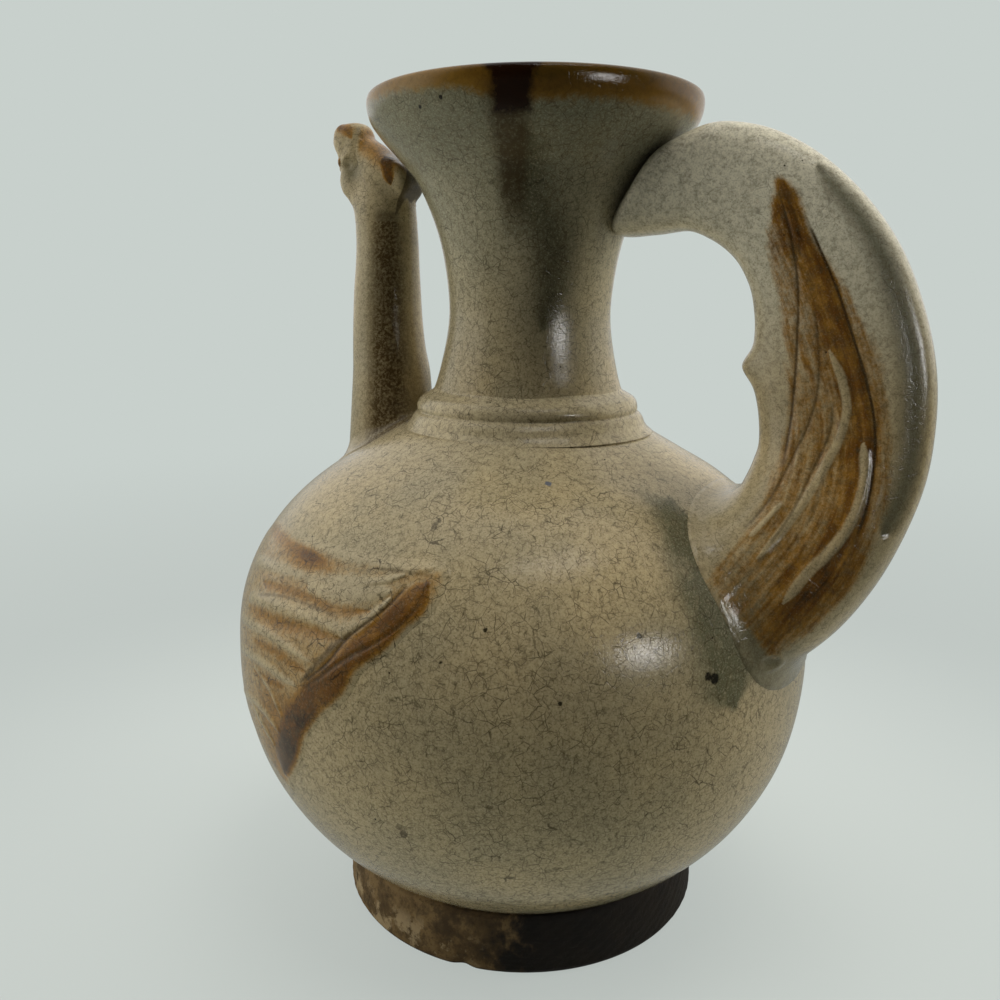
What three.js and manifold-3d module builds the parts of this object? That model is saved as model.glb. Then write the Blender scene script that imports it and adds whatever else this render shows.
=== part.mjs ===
// A stoneware ewer in the form of a bird: a thrown belly on a turned foot, a thrown neck with a flared
// mouth, a tubular spout that ends in the bird's head, a wing in relief on each flank, and a tail that
// arches up to the neck as the handle. Sizes are in millimetres and +Z is up. The bird faces -X and
// its tail points to +X. Places are measured from the axis of the belly, on the plane the foot stands
// on; the last lines move the whole ewer so that the origin is under the middle of its bounding box.
import * as THREE from "three";
import { mergeVertices } from "three/addons/utils/BufferGeometryUtils.js";
import Module from "manifold-3d";

const wasm = await Module();
wasm.setup();

// Foot ring
const footHeight = 15;
const footRadius = 53;
const footTopRadius = 52;
const footWall = 10;
const footBevel = 1;

// Belly
const bellyRadius = 85.8;
const bellyMiddle = 82;
const lowerReach = 78.5;
const lowerFullness = 2.2;
const upperReach = 62.3;
const upperFullness = 2.1;
const shoulderTop = 141.5;
const shoulderRadius = 36.6;
const shoulderSlope = 1.75;
const shoulderBend = 131;
const bellyWall = 4.5;
const bellyFloor = 6;

// Collar between the belly and the neck: two rounded ridges with a groove between them
const collarTop = 152;
const collarOutline = [
  [shoulderRadius, shoulderTop], [35.6, 143.2], [34, 145.4], [32.5, 146.3], [33.4, 147.2], [33, 149],
  [31.7, 150.4], [29, collarTop],
];

// Neck and mouth: the neck stands a little towards the tail and leans that way
const mouthTop = 240;
const neckShift = 1.4;
const neckLean = 2.2;
const neckWall = 4.2;
const neckOutline = [
  [29, collarTop], [26.4, 162], [24.8, 174], [25.5, 186], [28, 198], [31.7, 208], [35.8, 216], [41, 222],
  [46.4, 228], [49.6, 232.6], [50.4, 236], [50.3, 239], [49.4, mouthTop],
];

// Spout: the tube ends this far below the mouth's rim. Stations of [height, reach, radius]
const headDrop = 36;
const spoutTop = mouthTop - headDrop;
const spoutWall = 2.4;
const pierceRadius = 7.5;
const pierceReach = 48.4;
const spoutStations = [
  [100, pierceReach, 15.6], [128, pierceReach, 14.2], [140, pierceReach, 13.5], [150, 48.2, 13.1],
  [157, 48.4, 12.6], [163, 49.1, 12], [171, 49.6, 11.5], [182, 49.8, 11], [190, 49.7, 10.5],
  [198, 49.7, 10.2], [spoutTop, 50.1, 10.1],
];
const tubeEnd = spoutStations.at(-1);

// Head: stations of [reach, rise above the tube, tilt in degrees, half-length, half-width]
const headSquareness = 0.3;
const beakReach = 68.4;
const beakRise = 28.4;
const headStations = [
  [tubeEnd[1], 0, 0, tubeEnd[2], tubeEnd[2]], [50.6, 4.5, 2, 10.2, 9.8], [52.4, 8.7, 8, 10.2, 8.8],
  [55.9, 13, 16, 9.9, 7.7], [58.4, 17.5, 27, 8.9, 6.7], [60.5, 21.5, 40, 7.2, 6.2],
  [62.6, 26, 61, 6.3, 5.6], [65.6, 28.2, 74, 5.1, 4.9], [beakReach, beakRise, 82, 4.2, 4.2],
];

// Hollow of the head: stations of [reach, rise, tilt, half-length, half-width], and the hole in the beak
const hollowStations = [
  [50.3, -1, 0, 7.6, 7.3], [51.4, 7, 0, 7.2, 6.4], [55, 13, 0, 7.4, 5.4], [58.3, 19, 0, 5.8, 4.4],
  [60.6, 24, 0, 4.6, 4], [61.8, beakRise + 0.4, 0, 3.4, 3.2],
];
const pourRadius = 3;
const eyePlace = [63.9, 4, 20.3];
const eyeRadius = 2;

// Crest: stations of [reach, rise, half-height, half-thickness] down the back of the head
const crestStations = [
  [57.8, 27.2, 2.2, 2.8], [55.2, 23.9, 3.6, 4.6], [51.5, 19.1, 5, 6.4], [47.9, 15.3, 6.2, 7.2],
  [45.2, 12.2, 6.5, 7.2], [45.4, 8.6, 5.1, 6.6], [46, 5, 4.1, 5.6], [46.6, 2, 3, 4.4],
];

// Tail: stations of [inner reach, inner rise, outer reach, outer rise, half-thickness]
const tailStations = [
  [31.2, 198.6, 45.2, 223, 11.5], [41, 198.5, 52.5, 226.8, 11.3], [51.5, 199.4, 61, 228.9, 11],
  [58.4, 196.9, 72, 227, 11], [65, 191.9, 84, 221, 11], [69.2, 184.9, 95.5, 211, 11],
  [71, 176.7, 106.5, 196, 11], [71.2, 168, 113.5, 178.5, 11], [71.3, 158, 117, 161.5, 11.2],
  [72.8, 149, 117.1, 147, 12], [73.2, 142, 115.2, 133.5, 14], [72.2, 137.4, 110.5, 119, 18],
  [70.8, 133.4, 104, 105.5, 22.5], [69, 130, 96.4, 94.6, 27], [64, 126, 86.2, 84.8, 31.5], [56, 120, 74, 76, 32],
];
const spurReach = 73.2;
const spurRise = 161.5;
const spurSize = [4, 6, 7];

// Wing: outline of [way round the belly's widest line from the middle of the flank to the tail, height]
const wingOutline = [
  [15.7, 115], [-7.5, 98.5], [-21, 86], [-27, 70], [-32.2, 55], [-48, 60], [-72, 68], [-90, 80],
  [-96, 94], [-87, 107], [-70.5, 114], [-45, 114.5], [-22.5, 114.2],
];
const wingMiddle = [-45, 92];
const wingThickness = 1.3;
const wingEdge = 0.6;

// Gap left in each fired joint on a curved surface
const seatGap = 0.3;

const turns = 64;

function material(color, roughness) {
  return new THREE.MeshStandardMaterial({ color, roughness, metalness: 0 });
}

// A closed three.js geometry as a solid, turned face out where its faces point in.
function solid(geometry) {
  const bare = geometry.clone();
  bare.deleteAttribute("normal");
  bare.deleteAttribute("uv");
  const merged = mergeVertices(bare, 1e-4);
  const triangles = new Uint32Array(merged.index.array);
  const make = () => new wasm.Manifold(new wasm.Mesh({
    numProp: 3,
    vertProperties: new Float32Array(merged.attributes.position.array),
    triVerts: triangles,
  }));
  const made = make();
  if (made.volume() > 0) return made;
  for (let i = 0; i < triangles.length; i += 3) {
    [triangles[i + 1], triangles[i + 2]] = [triangles[i + 2], triangles[i + 1]];
  }
  return make();
}

// A solid as a three.js geometry.
function geometryOf(body) {
  const mesh = body.getMesh();
  const geometry = new THREE.BufferGeometry();
  geometry.setAttribute("position", new THREE.BufferAttribute(mesh.vertProperties.slice(), mesh.numProp));
  geometry.setIndex(new THREE.BufferAttribute(mesh.triVerts.slice(), 1));
  return geometry;
}

// A closed profile of [radius, height] points turned about the Z axis.
function turned(profile) {
  const points = profile.map(([r, z]) => new THREE.Vector2(Math.max(r, 0), z));
  return new THREE.LatheGeometry(points, turns).rotateX(Math.PI / 2);
}

// An outline moved along its own normals, away from the axis for a positive distance.
function movedOutwards(outline, distance) {
  return outline.map(([r, z], i) => {
    const before = outline[Math.max(i - 1, 0)];
    const after = outline[Math.min(i + 1, outline.length - 1)];
    const along = new THREE.Vector2(after[0] - before[0], after[1] - before[1]).normalize();
    return [r + along.y * distance, z - along.x * distance];
  });
}

// The belly's radius at a height: a full ellipse below and above the middle, then a straight shoulder.
function bellyRadiusAt(z) {
  if (z > shoulderBend) return shoulderRadius + shoulderSlope * (shoulderTop - z);
  const reach = z < bellyMiddle ? lowerReach : upperReach;
  const fullness = z < bellyMiddle ? lowerFullness : upperFullness;
  const share = Math.min(Math.abs(z - bellyMiddle) / reach, 1);
  return bellyRadius * (1 - share ** fullness) ** (1 / fullness);
}

// The belly's outline from a height to the shoulder. The rows lie closer towards its ends.
function bellyOutline(from, rows) {
  const outline = [];
  for (let i = 0; i <= rows; i += 1) {
    const share = (1 - Math.cos((Math.PI * i) / rows)) / 2;
    const z = from + (shoulderTop - from) * (0.35 * share + (0.65 * i) / rows);
    outline.push([bellyRadiusAt(z), z]);
  }
  return outline;
}

// The neck's outline as a smooth curve through its measured points.
function neckCurve() {
  const curve = new THREE.SplineCurve(neckOutline.map(([r, z]) => new THREE.Vector2(r, z)));
  return curve.getPoints(22).map((p) => [p.x, p.y]);
}

// Everything above the shoulder is shifted towards the tail and sheared that way.
function leaning(geometry) {
  const shear = new THREE.Matrix4().makeShear(0, 0, 0, 0, neckLean / (mouthTop - shoulderTop), 0);
  return geometry.translate(0, 0, -shoulderTop).applyMatrix4(shear).translate(neckShift, 0, shoulderTop);
}

// A skin carried through rings of points and closed by a fan at each end.
function loft(rings) {
  const places = rings.flat();
  const count = rings[0].length;
  const index = [];
  for (let i = 0; i + 1 < rings.length; i += 1) {
    for (let k = 0; k < count; k += 1) {
      const a = i * count + k;
      const b = i * count + ((k + 1) % count);
      index.push(a, b, b + count, a, b + count, a + count);
    }
  }
  const last = (rings.length - 1) * count;
  const poles = places.length;
  for (const ring of [rings[0], rings[rings.length - 1]]) {
    places.push(ring.reduce((sum, p) => sum.add(p), new THREE.Vector3()).divideScalar(count));
  }
  for (let k = 0; k < count; k += 1) {
    const next = (k + 1) % count;
    index.push(poles, next, k, poles + 1, last + k, last + next);
  }
  const geometry = new THREE.BufferGeometry().setFromPoints(places);
  geometry.setIndex(index);
  return solid(geometry);
}

// A ring about a point of the bird's plane. It reaches a along the tilted direction and b across the
// plane. Its fullness is 2 for an ellipse and more for a squarer section.
function ringAt(x, z, tilt, a, b, count, fullness = 2) {
  const ring = [];
  const power = 2 / fullness;
  for (let k = 0; k < count; k += 1) {
    const angle = (k / count) * 2 * Math.PI;
    const c = Math.sign(Math.cos(angle)) * Math.abs(Math.cos(angle)) ** power;
    const s = Math.sign(Math.sin(angle)) * Math.abs(Math.sin(angle)) ** power;
    ring.push(new THREE.Vector3(x + Math.cos(tilt) * a * c, b * s, z + Math.sin(tilt) * a * c));
  }
  return ring;
}

// Rows of station values, carried smoothly through the stations.
function smoothed(stations, rows) {
  const first = new THREE.CatmullRomCurve3(stations.map((s) => new THREE.Vector3(s[0], s[1], s[2])));
  const rest = new THREE.CatmullRomCurve3(stations.map((s) => new THREE.Vector3(s[3] ?? 0, s[4] ?? 0, 0)));
  const made = [];
  for (let i = 0; i <= rows; i += 1) {
    const a = first.getPoint(i / rows);
    const b = rest.getPoint(i / rows);
    made.push([a.x, a.y, a.z, b.x, b.y]);
  }
  return made;
}

// Foot: a turned ring of bare clay, bevelled where it stands.
function footSolid() {
  const inner = footRadius - footWall;
  return solid(turned([
    [inner + footBevel, 0], [footRadius - footBevel, 0], [footRadius, footBevel],
    [footRadius, footHeight * 0.4], [footTopRadius, footHeight], [inner, footHeight], [inner, footBevel],
    [inner + footBevel, 0],
  ]));
}

// Belly: a thrown shell with a floor, open under the neck and pierced under the spout.
function bellySolid() {
  const outer = bellyOutline(footHeight, 16);
  const inner = movedOutwards(bellyOutline(footHeight + 4, 13), -bellyWall);
  inner[0][1] = footHeight + bellyFloor;
  inner[inner.length - 1] = [neckOutline[0][0] - neckWall, shoulderTop];
  const shell = solid(turned([[0, footHeight], ...outer, ...inner.reverse(), [0, footHeight + bellyFloor]]));
  const length = shoulderTop - bellyMiddle;
  const pierce = new THREE.CylinderGeometry(pierceRadius, pierceRadius, length, 32).rotateX(Math.PI / 2);
  return shell.subtract(solid(pierce.translate(-pierceReach, 0, shoulderBend)));
}

// The belly without its hollow, grown by the joint's gap, to cut what is luted onto it.
function bellyCutter() {
  const outer = movedOutwards(bellyOutline(footHeight, 32), seatGap);
  outer[outer.length - 1][1] = shoulderTop;
  return solid(turned([[0, outer[0][1]], ...outer, [0, shoulderTop]]));
}

// Collar: a turned ring.
function collarSolid() {
  const bore = neckOutline[0][0] - neckWall;
  return solid(leaning(turned([[bore, shoulderTop], ...collarOutline, [bore, collarTop], [bore, shoulderTop]])));
}

// The collar without its bore, grown by the joint's gap, to cut the foot of the spout.
function collarCutter() {
  const outer = movedOutwards(collarOutline, seatGap);
  outer.unshift([outer[0][0], shoulderTop - 1]);
  return solid(leaning(turned([[0, shoulderTop - 1], ...outer, [0, outer[outer.length - 1][1]]])));
}

// Neck with its flared mouth: one thrown shell.
function neckSolid() {
  const outer = neckCurve();
  const inner = movedOutwards(outer.slice(0, -3), -neckWall);
  inner[0][1] = collarTop;
  const closed = [...outer, ...inner.reverse()];
  return solid(leaning(turned([...closed, closed[0]])));
}

// The neck without its hollow, grown by the joint's gap, to cut what is luted onto it.
function neckCutter() {
  const outer = movedOutwards(neckCurve(), seatGap);
  return solid(leaning(turned([[0, outer[0][1]], ...outer, [0, outer[outer.length - 1][1]]])));
}

// Spout: a tube that widens where it is luted to the shoulder. Its bore is smaller by the wall.
function spoutRings(wall, past) {
  const rows = smoothed(spoutStations, 14);
  rows[0][0] -= past;
  rows[rows.length - 1][0] += past;
  return rows.map(([z, reach, radius]) => ringAt(-reach, z, 0, radius - wall, radius - wall, 32));
}

function spoutSolid() {
  const tube = loft(spoutRings(0, 0)).subtract(loft(spoutRings(spoutWall, 1)));
  return tube.subtract(bellyCutter()).subtract(collarCutter());
}

// Head: the skull and the blunt beak in one, grown by a distance. It starts as round as the tube and
// becomes squarer over its first rows.
function headRings(stations, grown, squareness) {
  return smoothed(stations, 16).map(([reach, rise, tilt, a, b], i) => {
    const turn = THREE.MathUtils.degToRad(tilt);
    const fullness = 2 + squareness * Math.min(i / 4, 1);
    return ringAt(-reach, spoutTop + rise, turn, a + grown, b + grown, 28, fullness);
  });
}

// The head is hollow, and the hollow opens through the beak as the pouring hole.
function headSolid() {
  const from = hollowStations.at(-1)[0];
  const length = (beakReach - from) * 2;
  const hole = new THREE.CylinderGeometry(pourRadius, pourRadius, length, 24).rotateZ(Math.PI / 2);
  hole.translate(-from - length / 2, 0, spoutTop + beakRise);
  const hollow = loft(headRings(hollowStations, 0, 0)).add(solid(hole));
  return loft(headRings(headStations, 0, headSquareness)).subtract(hollow).subtract(neckCutter());
}

// Crest: a comb of clay down the back of the head, ending in a hooked corner.
function crestSolid(headFull) {
  const rings = smoothed(crestStations, 14).map(([reach, rise, a, b], i, rows) => {
    const before = rows[Math.max(i - 1, 0)];
    const after = rows[Math.min(i + 1, rows.length - 1)];
    const along = new THREE.Vector2(before[0] - after[0], after[1] - before[1]);
    return ringAt(-reach, spoutTop + rise, along.angle() + Math.PI / 2, a, b, 20);
  });
  return loft(rings).subtract(headFull).subtract(loft(spoutRings(-seatGap, 0))).subtract(neckCutter());
}

// Eye: a pellet of clay pressed onto each side of the head.
function eyeSolid(side, headFull) {
  const [reach, out, rise] = eyePlace;
  const pellet = new THREE.SphereGeometry(eyeRadius, 18, 12).translate(-reach, side * out, spoutTop + rise);
  return solid(pellet).subtract(headFull);
}

// Tail: a flat, rounded slab that arches from the neck to the back of the belly and spreads there.
function tailSolid() {
  const inner = new THREE.CatmullRomCurve3(tailStations.map((s) => new THREE.Vector3(s[0], 0, s[1])));
  const outer = new THREE.CatmullRomCurve3(tailStations.map((s) => new THREE.Vector3(s[2], s[4], s[3])));
  const rings = [];
  const rows = 48;
  for (let i = 0; i <= rows; i += 1) {
    const a = inner.getPoint(i / rows);
    const b = outer.getPoint(i / rows);
    const across = new THREE.Vector2(b.x - a.x, b.z - a.z);
    rings.push(ringAt((a.x + b.x) / 2, (a.z + b.z) / 2, across.angle(), across.length() / 2, b.y, 32, 2.8));
  }
  const spur = new THREE.SphereGeometry(1, 16, 12).scale(...spurSize).translate(spurReach, 0, spurRise);
  return loft(rings).add(solid(spur)).subtract(bellyCutter()).subtract(neckCutter());
}

// Wing: a skin on the belly, thin at its edge. Its rings run between the middle and the outline.
function wingSolid(side) {
  const edge = new THREE.SplineCurve([...wingOutline, wingOutline[0]].map(([u, z]) => new THREE.Vector2(u, z)));
  const rim = edge.getPoints(52).slice(0, -1);
  const middle = new THREE.Vector2(...wingMiddle);
  const ringOf = (share, out) => rim.map((p) => {
    const place = middle.clone().lerp(p, share);
    const turn = place.x / bellyRadius;
    const radius = bellyRadiusAt(place.y) + out;
    return new THREE.Vector3(radius * Math.sin(turn), side * radius * Math.cos(turn), place.y);
  });
  const shares = [0.15, 0.4, 0.62, 0.82, 0.95, 1];
  const under = shares.map((share) => ringOf(share, -1));
  const over = shares.map((share) => ringOf(share, seatGap + (share === 1 ? wingEdge : wingThickness)));
  return loft([...under, ...over.reverse()]).subtract(bellyCutter());
}

const ewer = new THREE.Group();

function add(name, body, color, roughness) {
  const mesh = new THREE.Mesh(geometryOf(body), material(color, roughness));
  mesh.name = name;
  ewer.add(mesh);
}

const headFull = loft(headRings(headStations, seatGap, headSquareness));
add("foot_ring", footSolid(), 0x4d3f2e, 0.85);
add("belly", bellySolid(), 0xa69d80, 0.3);
add("collar", collarSolid(), 0xa69d80, 0.3);
add("neck_and_mouth", neckSolid(), 0xa4a08a, 0.3);
add("spout_tube", spoutSolid(), 0x93856a, 0.35);
add("bird_head", headSolid(), 0xa39a80, 0.35);
add("crest", crestSolid(headFull), 0x9a7a4c, 0.35);
add("eye_left", eyeSolid(-1, headFull), 0x5a3c1e, 0.35);
add("eye_right", eyeSolid(1, headFull), 0x5a3c1e, 0.35);
add("wing_left", wingSolid(-1), 0x8c6434, 0.35);
add("wing_right", wingSolid(1), 0x8c6434, 0.35);
add("tail_handle", tailSolid(), 0x8c6434, 0.35);

const box = new THREE.Box3().setFromObject(ewer);
ewer.position.set(-(box.min.x + box.max.x) / 2, -(box.min.y + box.max.y) / 2, -box.min.z);

export default ewer;
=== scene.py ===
"""Bird-shaped stoneware ewer: the visual model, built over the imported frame.

Run as a script it registers its operators, calls them in order and leaves the finished scene: the
stage, the foot, the belly with the collar and the neck, the spout with the bird's head, the wings and
the tail handle. Lengths inside the surface functions are millimetres from the belly's axis, on the
plane the foot stands on. The bird faces -X, its tail points to +X and its left flank to -Y.
"""

import math

import bpy
import numpy as np
from mathutils import Matrix, Vector


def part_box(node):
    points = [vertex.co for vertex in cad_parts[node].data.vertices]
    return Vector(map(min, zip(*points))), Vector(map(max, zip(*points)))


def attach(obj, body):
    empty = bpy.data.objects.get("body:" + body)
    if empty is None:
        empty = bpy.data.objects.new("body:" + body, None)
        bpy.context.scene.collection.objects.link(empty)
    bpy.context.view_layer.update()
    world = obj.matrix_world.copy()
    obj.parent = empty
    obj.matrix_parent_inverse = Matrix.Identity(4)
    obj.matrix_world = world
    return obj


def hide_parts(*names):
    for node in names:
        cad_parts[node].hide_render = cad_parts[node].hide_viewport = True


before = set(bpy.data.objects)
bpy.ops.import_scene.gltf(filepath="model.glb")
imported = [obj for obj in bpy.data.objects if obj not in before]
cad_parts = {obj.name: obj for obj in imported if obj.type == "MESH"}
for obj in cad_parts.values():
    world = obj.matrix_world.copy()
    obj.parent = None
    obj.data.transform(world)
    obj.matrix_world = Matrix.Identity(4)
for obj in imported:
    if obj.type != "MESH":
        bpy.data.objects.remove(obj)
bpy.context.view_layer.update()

bl_info = {
    "name": "Bird Ewer",
    "version": (1, 0, 0),
    "blender": (4, 5, 0),
    "location": "View3D > Sidebar > Ewer",
    "description": "Builds a glazed stoneware ewer in the form of a bird",
    "category": "Add Mesh",
}

MM = 0.001
FOOT_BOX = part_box("foot_ring")
AXIS = (FOOT_BOX[0][0] + FOOT_BOX[1][0]) / 2

FOOT_TOP = 15.0
BELLY_RADIUS = 85.8
BELLY_MIDDLE = 82.0
BELLY_BELOW = (78.5, 2.2)
BELLY_ABOVE = (62.3, 2.1)
SHOULDER = (36.6, 141.5)
SHOULDER_BEND = 131.0
SHOULDER_SLOPE = 1.75
BELLY_WALL = 5.0
LIP = 240.0
NECK_SHIFT = 1.4
NECK_LEAN = 2.2
BORE = 24.8
SPOUT_WALL = 2.4
WING_DEPTH = 2.0
WING_COLUMNS = (134, 12)

CAMERA_DISTANCE = 0.3015
CAMERA_HEIGHT = 0.18345
CAMERA_AROUND = 26.0
CAMERA_HEADING = 117.344
CAMERA_DROP = 4.526
CAMERA_ROLL = 0.2
CAMERA_SHIFT = -0.1349
DARK_SIDE = (0.59, -0.81, 0.0)

NECK_OUTLINE = [
    (29, 152), (26.4, 162), (24.8, 174), (25.5, 186), (28, 198), (31.7, 208), (35.8, 216), (41, 222),
    (46.3, 228), (49.3, 232.6), (50.2, 236), (50.2, 238.3), (49.8, 239.4), (49.1, 239.9),
]

TUBE = [
    (118, 48.4, 14.9), (128, 48.4, 14.2), (140, 48.4, 13.5), (150, 48.2, 13.1), (157, 48.4, 12.6),
    (163, 49.1, 12), (171, 49.6, 11.5), (182, 49.8, 11), (190, 49.7, 10.5), (198, 49.7, 10.2),
    (203, 50, 10.1), (205, 50.1, 10), (206.2, 50.2, 9.5),
]

HEAD = [
    (50, 202.6, 0, 9.7, 9.7), (50.05, 204, 0, 10.1, 10.1), (50.2, 205.2, 1, 10.15, 10.05),
    (50.6, 208.5, 2, 10.2, 9.8), (52.4, 212.7, 8, 10.2, 8.8), (55.9, 217, 16, 9.9, 7.7),
    (58.6, 221.5, 27, 9.1, 6.9), (60.6, 225.5, 42, 7.6, 6.3), (62.9, 229.6, 66, 8.3, 5.6),
    (65.4, 231.6, 76, 5.9, 5.2), (67.5, 232.6, 81, 4.4, 4.4), (68.4, 232.8, 82, 3.5, 3.7),
]

CREST = [
    (58.6, 231.4, 1.2, 1.8), (57.6, 230.4, 2.3, 3.6), (55.2, 227.9, 3.6, 5.4), (51.5, 223.1, 5, 6.9),
    (47.9, 219.3, 6.2, 7.3), (45.2, 216.4, 6.4, 7.1), (46.1, 212.8, 4.7, 5.6), (47, 209.4, 3.5, 4.3),
    (47.6, 206.6, 2.4, 3.8), (48, 204, 1.3, 2.2),
]

TAIL = [
    (31.2, 198.6, 45.2, 223, 11.5), (41, 198.5, 52.5, 226.8, 11.3), (51.5, 199.4, 61, 228.9, 11),
    (58.4, 196.9, 72, 227, 11), (65, 191.9, 84, 221, 11), (69.2, 184.9, 95.5, 211, 11),
    (71, 176.7, 106.5, 196, 11), (71.2, 168, 113.5, 178.5, 11), (71.3, 158, 116.9, 161.5, 11.2),
    (72.8, 149, 117, 147, 12), (73.2, 142, 115.2, 133.5, 14), (72.2, 137.4, 110.5, 119, 18),
    (70.8, 133.4, 104, 105.5, 22.5), (69, 130, 96.4, 94.6, 27), (64, 126, 86.2, 84.8, 31.5),
    (56, 120, 74, 76, 32),
]

WING_LOWER = [
    (-97.5, 94), (-96, 86.5), (-91, 78), (-80, 70.5), (-72, 66), (-60, 60), (-48, 54), (-39, 49.4),
    (-34.5, 48.2), (-31.5, 51.5), (-26, 58.5), (-22, 63), (-17.8, 71), (-11.5, 78), (-3.3, 85.5),
    (-0.5, 90.8), (6.8, 97), (11.5, 102.2), (17.2, 107), (19.2, 111.5), (20, 115),
]
WING_UPPER = [
    (-97.5, 94), (-96.5, 100), (-92, 107), (-84, 113), (-72, 116.6), (-60, 117.6), (-39, 118), (-24, 118),
    (-8, 118.3), (4.5, 118), (14, 118.3), (18.5, 117.6), (20, 115),
]
WING_PAINT = [
    (-95, 100), (-88, 109), (-80, 114), (-70, 115.6), (-39, 115), (-24, 114.6), (-8, 114.8), (4.5, 114.6),
    (14, 115.8), (17.4, 114.9), (16.8, 112), (15, 108), (9.3, 103.5), (4.7, 98), (-3, 92), (-5.6, 87),
    (-14, 79), (-20, 72), (-24, 64.6), (-31.4, 56.6), (-37, 51), (-48, 56.5), (-60, 62.5), (-72, 68.5),
    (-82, 74), (-91, 81), (-95.5, 90),
]
WING_RIDGES = [
    ([(-72, 104.8), (-36, 109), (-18, 109.8), (-1, 112), (5.5, 114)], 2.4),
    ([(-26, 108), (-14, 108.6), (-3, 109.4), (3, 110.4)], 3.6),
    ([(-59, 97.4), (-35, 101), (-20, 101.4), (-9, 100.5), (-1, 104), (3.4, 108.8)], 3.0),
    ([(-66, 89.8), (-32, 93), (-17, 91.3)], 1.8),
    ([(-64.5, 81.4), (-38, 85), (-22.6, 84)], 2.0),
    ([(-65, 68), (-39, 71.6), (-31, 69)], 1.8),
    ([(-46, 82), (-35, 79), (-29, 73.5)], 1.0),
    ([(-53, 72), (-43.5, 67.7), (-36, 63.5)], 1.6),
]
WING_GROOVES = [
    ([(-77, 113), (-30, 113.4), (-23, 112.8)], 2.4),
    ([(-51, 103), (-25, 105), (-10, 104.3), (-1.5, 105.6)], 1.7),
    ([(-56.5, 95.4), (-27, 97.4), (-12, 98.7), (-8, 98.3)], 2.8),
    ([(-46.5, 88.8), (-31, 89.6), (-19, 88.3)], 1.9),
    ([(-46.6, 80.5), (-28, 82)], 1.5),
]
WING_BAND = [
    (13, 112.5), (8.5, 105.5), (2, 99), (-5, 92.5), (-11, 86), (-18, 79), (-24, 72), (-29, 64), (-34, 56),
]
WING_LINES = [
    ([(-20.6, 84.7), (-11, 93), (-6.7, 98.6), (3.8, 107.8), (8.3, 112.9)], 0.8),
    ([(-21.4, 82.7), (-15, 87.5), (-5, 95), (3, 100), (9, 104.8), (13, 109.7)], 0.6),
    ([(-4, 114.4), (5, 114.6), (14, 114.3)], 0.35),
    ([(-52, 99.6), (-35, 103), (-20, 103.4), (-10, 102.8)], 0.45),
]

FAN = [
    (77.9, 212.2), (75.8, 195.3), (79.4, 177.8), (81.7, 160.5), (81.7, 147.2), (79.6, 136.4), (75.5, 123),
    (71.4, 118.2), (68.9, 110.9), (74.2, 103.3), (80.7, 95.5), (83, 91), (89.2, 95.5), (96.3, 103.3),
    (102.2, 111.9), (105.5, 122), (107.9, 133), (107.8, 145.1), (106.3, 157.5), (103.5, 168.3),
    (99.2, 178.2), (94.3, 186.4), (87.4, 196.5), (80.4, 211.3),
]
TAIL_LINES = [
    ([(78.3, 209.5), (82.3, 195.1), (83.9, 184.9), (84.1, 169.5), (83.3, 151.8), (81.6, 135)], 0.8),
    ([(79.4, 208.7), (83.2, 201), (84.3, 190.8)], 0.5),
    ([(84.6, 203.5), (89.3, 193.2), (93.7, 183.1), (97.8, 171.4), (101.5, 159.8), (103.8, 148.8),
      (103.9, 138.2), (102.2, 126.1), (99.1, 116.9)], 1.0),
    ([(87.8, 181.2), (89.4, 169.7), (89.6, 156.7), (87.4, 147.8), (84.3, 140.1), (79.4, 128.7),
      (73.4, 120.6)], 0.6),
    ([(93.5, 155.9), (93.2, 147.5), (89.6, 137.3), (84.8, 125.2), (80.1, 117.4)], 0.6),
]
TAIL_STREAKS = [
    ([(92.3, 167.9), (95.8, 159.8), (97, 152.8), (95.7, 146), (92.9, 139.4), (88.8, 130.7), (83.5, 122),
      (78.8, 115.7)], 2.0),
    ([(101.2, 144.9), (102.1, 136.6), (100, 126.6), (95.9, 119.4), (90.4, 113), (85.4, 105.6)], 2.4),
    ([(83, 128.9), (76.5, 120.8)], 1.1),
]
TAIL_FLOW = [
    (78, 217), (84.6, 203.5), (89.3, 193.2), (93.7, 183.1), (97.8, 171.4), (101.5, 159.8), (103.8, 148.8),
    (103.9, 138.2), (102.2, 126.1), (98, 115), (90, 103), (80, 90),
]
TAIL_CHANNEL = [
    (87.9, 214.7), (99.8, 200), (108.3, 181.3), (112.8, 161.9), (113.2, 149.3), (111.6, 132.6),
    (106.8, 121.9),
]


# Surfaces


def hermite(at, points, where):
    """A smooth curve through points given at the places `at`. Each piece is a cubic whose end slopes are
    the neighbouring chords' slopes, each weighted by the other chord's length."""
    at = np.asarray(at, float)
    points = np.asarray(points, float)
    step = np.diff(at)[:, None]
    chord = np.diff(points, axis=0) / step
    slope = np.vstack([
        chord[:1],
        (chord[1:] * step[:-1] + chord[:-1] * step[1:]) / (step[1:] + step[:-1]),
        chord[-1:],
    ])
    where = np.clip(where, at[0], at[-1])
    k = np.clip(np.searchsorted(at, where, side="right") - 1, 0, len(at) - 2)
    h = step[k]
    t = ((where - at[k]) / (at[k + 1] - at[k]))[:, None]
    return (
        points[k] * (1 + 2 * t) * (1 - t) ** 2
        + slope[k] * h * t * (1 - t) ** 2
        + points[k + 1] * t * t * (3 - 2 * t)
        + slope[k + 1] * h * t * t * (t - 1)
    )


def through(points, count):
    """A smooth curve through the points, read at `count` places evenly spaced along its chords."""
    points = np.asarray(points, float)
    at = np.concatenate([[0], np.cumsum(np.linalg.norm(np.diff(points, axis=0), axis=1))])
    return hermite(at, points, np.linspace(0, at[-1], count))


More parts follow.
